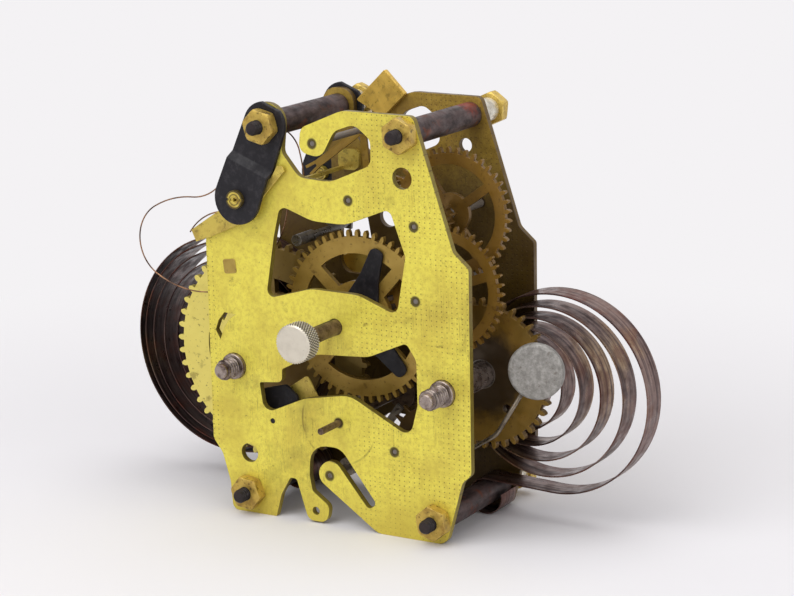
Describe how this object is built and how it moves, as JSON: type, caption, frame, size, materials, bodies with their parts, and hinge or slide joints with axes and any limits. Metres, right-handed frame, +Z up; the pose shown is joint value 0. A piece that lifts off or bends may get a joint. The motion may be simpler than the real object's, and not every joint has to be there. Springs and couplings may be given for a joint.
{
  "type": "clock movement",
  "caption": "Brass plate spring-driven clock movement with alarm hammer, open coiled mainsprings, pillars and hand arbor, less its balance.",
  "frame": {"origin": "on the hand arbor's axis, at the rear face of the rear plate", "axes": "+X to the right seen from behind, +Y along the arbors towards the dial, +Z up"},
  "size_m": [0.1207, 0.0567, 0.0901],
  "materials": {
    "plate_brass": "aged, dotted",
    "wheel_brass": "satin",
    "nut_brass": "tarnished",
    "pillar_steel": "rust brown",
    "black_steel": "matt black",
    "nickel": "knurled",
    "bright_steel": "satin",
    "dark_steel": "threaded",
    "spring_steel": "oil brown",
    "copper_wire": "drawn",
    "zinc": "dull cast"
  },
  "bodies": {
    "frame": {"rear_plate": "plate_brass", "front_plate": "plate_brass", "pillar_upper_left": "pillar_steel", "pillar_upper_right": "pillar_steel", "pillar_lower_left": "pillar_steel", "pillar_lower_right": "pillar_steel", "rear_nut_upper_left": "nut_brass", "rear_nut_upper_right": "nut_brass", "rear_nut_lower_left": "nut_brass", "rear_nut_lower_right": "nut_brass", "collar_upper_left": "nickel", "collar_upper_right": "nickel", "collar_lower_left": "nickel", "collar_lower_right": "nickel", "front_nut_upper_left": "nut_brass", "front_nut_upper_right": "nut_brass", "front_nut_lower_left": "nut_brass", "front_nut_lower_right": "nut_brass", "rear_balance_bracket": "black_steel", "front_balance_bracket": "black_steel", "rear_cup_screw": "nut_brass", "front_cup_screw": "nut_brass", "hairspring_stud": "wheel_brass", "hairspring": "copper_wire", "top_lug": "plate_brass", "window_post": "bright_steel", "stop_spring": "wheel_brass", "minute_stud": "nut_brass", "time_mainspring": "spring_steel", "alarm_mainspring": "spring_steel"},
    "regulator": {"regulator_lever": "wheel_brass"},
    "alarm_stop": {"stop_lever": "black_steel"},
    "hands_drive": {"hand_arbor": "bright_steel", "set_knob": "nickel", "friction_spring": "black_steel", "cannon_pinion": "wheel_brass"},
    "minute_gear": {"minute_wheel": "nut_brass"},
    "hour_gear": {"hour_wheel": "wheel_brass"},
    "centre_gear": {"centre_wheel": "wheel_brass"},
    "third_gear": {"third_wheel": "wheel_brass"},
    "fourth_gear": {"fourth_wheel": "wheel_brass"},
    "escape_gear": {"escape_wheel": "wheel_brass"},
    "pallets": {"pallet_lever": "wheel_brass"},
    "time_great_gear": {"time_great_wheel": "wheel_brass"},
    "time_arbor": {"time_winding_arbor": "dark_steel"},
    "time_pawl": {"time_click": "dark_steel"},
    "alarm_great_gear": {"alarm_great_wheel": "wheel_brass"},
    "alarm_arbor": {"alarm_winding_arbor": "dark_steel"},
    "alarm_pawl": {"alarm_click": "dark_steel"},
    "alarm_escape_gear": {"alarm_escape_wheel": "wheel_brass"},
    "hammer": {"alarm_verge": "bright_steel", "hammer_wire": "bright_steel", "hammer_head": "zinc"},
    "alarm_setting": {"alarm_set_arbor": "bright_steel"}
  },
  "joints": [
    {"name": "fourth_turn", "type": "hinge", "parent": "frame", "child": "fourth_gear", "pos_m": [0.0186, 0.014, 0.02195], "axis": [0, 1, 0], "continuous": true},
    {"name": "third_turn", "type": "hinge", "parent": "frame", "child": "third_gear", "pos_m": [0.01867, 0.014, 0.0071], "axis": [0, 1, 0], "continuous": true},
    {"name": "centre_turn", "type": "hinge", "parent": "frame", "child": "centre_gear", "pos_m": [0, 0.012, 0], "axis": [0, 1, 0], "continuous": true},
    {"name": "time_great_turn", "type": "hinge", "parent": "frame", "child": "time_great_gear", "pos_m": [-0.0245, 0.014, -0.0108], "axis": [0, 1, 0], "continuous": true, "deforming": ["time_mainspring"]},
    {"name": "escape_turn", "type": "hinge", "parent": "frame", "child": "escape_gear", "pos_m": [0.0038, 0.014, 0.026], "axis": [0, 1, 0], "continuous": true},
    {"name": "pallets_rock", "type": "hinge", "parent": "frame", "child": "pallets", "pos_m": [-0.0042, 0.014, 0.0368], "axis": [0, 1, 0], "range_deg": [-2, 2]},
    {"name": "hands_turn", "type": "hinge", "parent": "frame", "child": "hands_drive", "pos_m": [0, 0.014, 0], "axis": [0, 1, 0], "continuous": true},
    {"name": "minute_turn", "type": "hinge", "parent": "frame", "child": "minute_gear", "pos_m": [-0.012, 0.031, 0], "axis": [0, 1, 0], "continuous": true},
    {"name": "hour_turn", "type": "hinge", "parent": "frame", "child": "hour_gear", "pos_m": [0, 0.033, 0], "axis": [0, 1, 0], "continuous": true},
    {"name": "time_winding", "type": "hinge", "parent": "time_great_gear", "child": "time_arbor", "pos_m": [-0.0245, 0.014, -0.0108], "axis": [0, 1, 0], "continuous": true, "deforming": ["time_mainspring"]},
    {"name": "time_click_lift", "type": "hinge", "parent": "time_great_gear", "child": "time_pawl", "pos_m": [-0.02627, 0.0157, -0.00076], "axis": [0, 1, 0], "range_deg": [-14, 0], "stiffness_Nm_per_rad": 0.002},
    {"name": "alarm_great_turn", "type": "hinge", "parent": "frame", "child": "alarm_great_gear", "pos_m": [0.0245, 0.016, -0.0108], "axis": [0, 1, 0], "continuous": true, "deforming": ["alarm_mainspring"]},
    {"name": "alarm_winding", "type": "hinge", "parent": "alarm_great_gear", "child": "alarm_arbor", "pos_m": [0.0245, 0.016, -0.0108], "axis": [0, 1, 0], "continuous": true, "deforming": ["alarm_mainspring"]},
    {"name": "alarm_click_lift", "type": "hinge", "parent": "alarm_great_gear", "child": "alarm_pawl", "pos_m": [0.02273, 0.0184, -0.00076], "axis": [0, 1, 0], "range_deg": [-14, 0], "stiffness_Nm_per_rad": 0.002},
    {"name": "alarm_escape_turn", "type": "hinge", "parent": "frame", "child": "alarm_escape_gear", "pos_m": [0.0132, 0.014, -0.0243], "axis": [0, 1, 0], "continuous": true},
    {"name": "hammer_rock", "type": "hinge", "parent": "frame", "child": "hammer", "pos_m": [-0.0022, 0.008, -0.0314], "axis": [0, 1, 0], "range_deg": [-3, 3]},
    {"name": "alarm_set", "type": "hinge", "parent": "frame", "child": "alarm_setting", "pos_m": [0.0003, 0.014, -0.0199], "axis": [0, 1, 0], "continuous": true},
    {"name": "regulator_swing", "type": "hinge", "parent": "frame", "child": "regulator", "pos_m": [-0.021, -0.002, 0.0248], "axis": [0, 1, 0], "range_deg": [0, 10]},
    {"name": "alarm_stop_swing", "type": "hinge", "parent": "frame", "child": "alarm_stop", "pos_m": [-0.0156, 0.004, -0.0215], "axis": [0, 1, 0], "range_deg": [-6, 6]}
  ],
  "couplings": [
    {"joint": "escape_turn", "follows": "fourth_turn", "ratio": -5.25},
    {"joint": "third_turn", "follows": "fourth_turn", "ratio": -0.16667},
    {"joint": "centre_turn", "follows": "fourth_turn", "ratio": 0.024691},
    {"joint": "time_great_turn", "follows": "fourth_turn", "ratio": -0.0039506},
    {"joint": "minute_turn", "follows": "hands_turn", "ratio": -0.33333},
    {"joint": "hour_turn", "follows": "hands_turn", "ratio": 0.083333},
    {"joint": "alarm_escape_turn", "follows": "alarm_great_turn", "ratio": -5.7143}
  ]
}
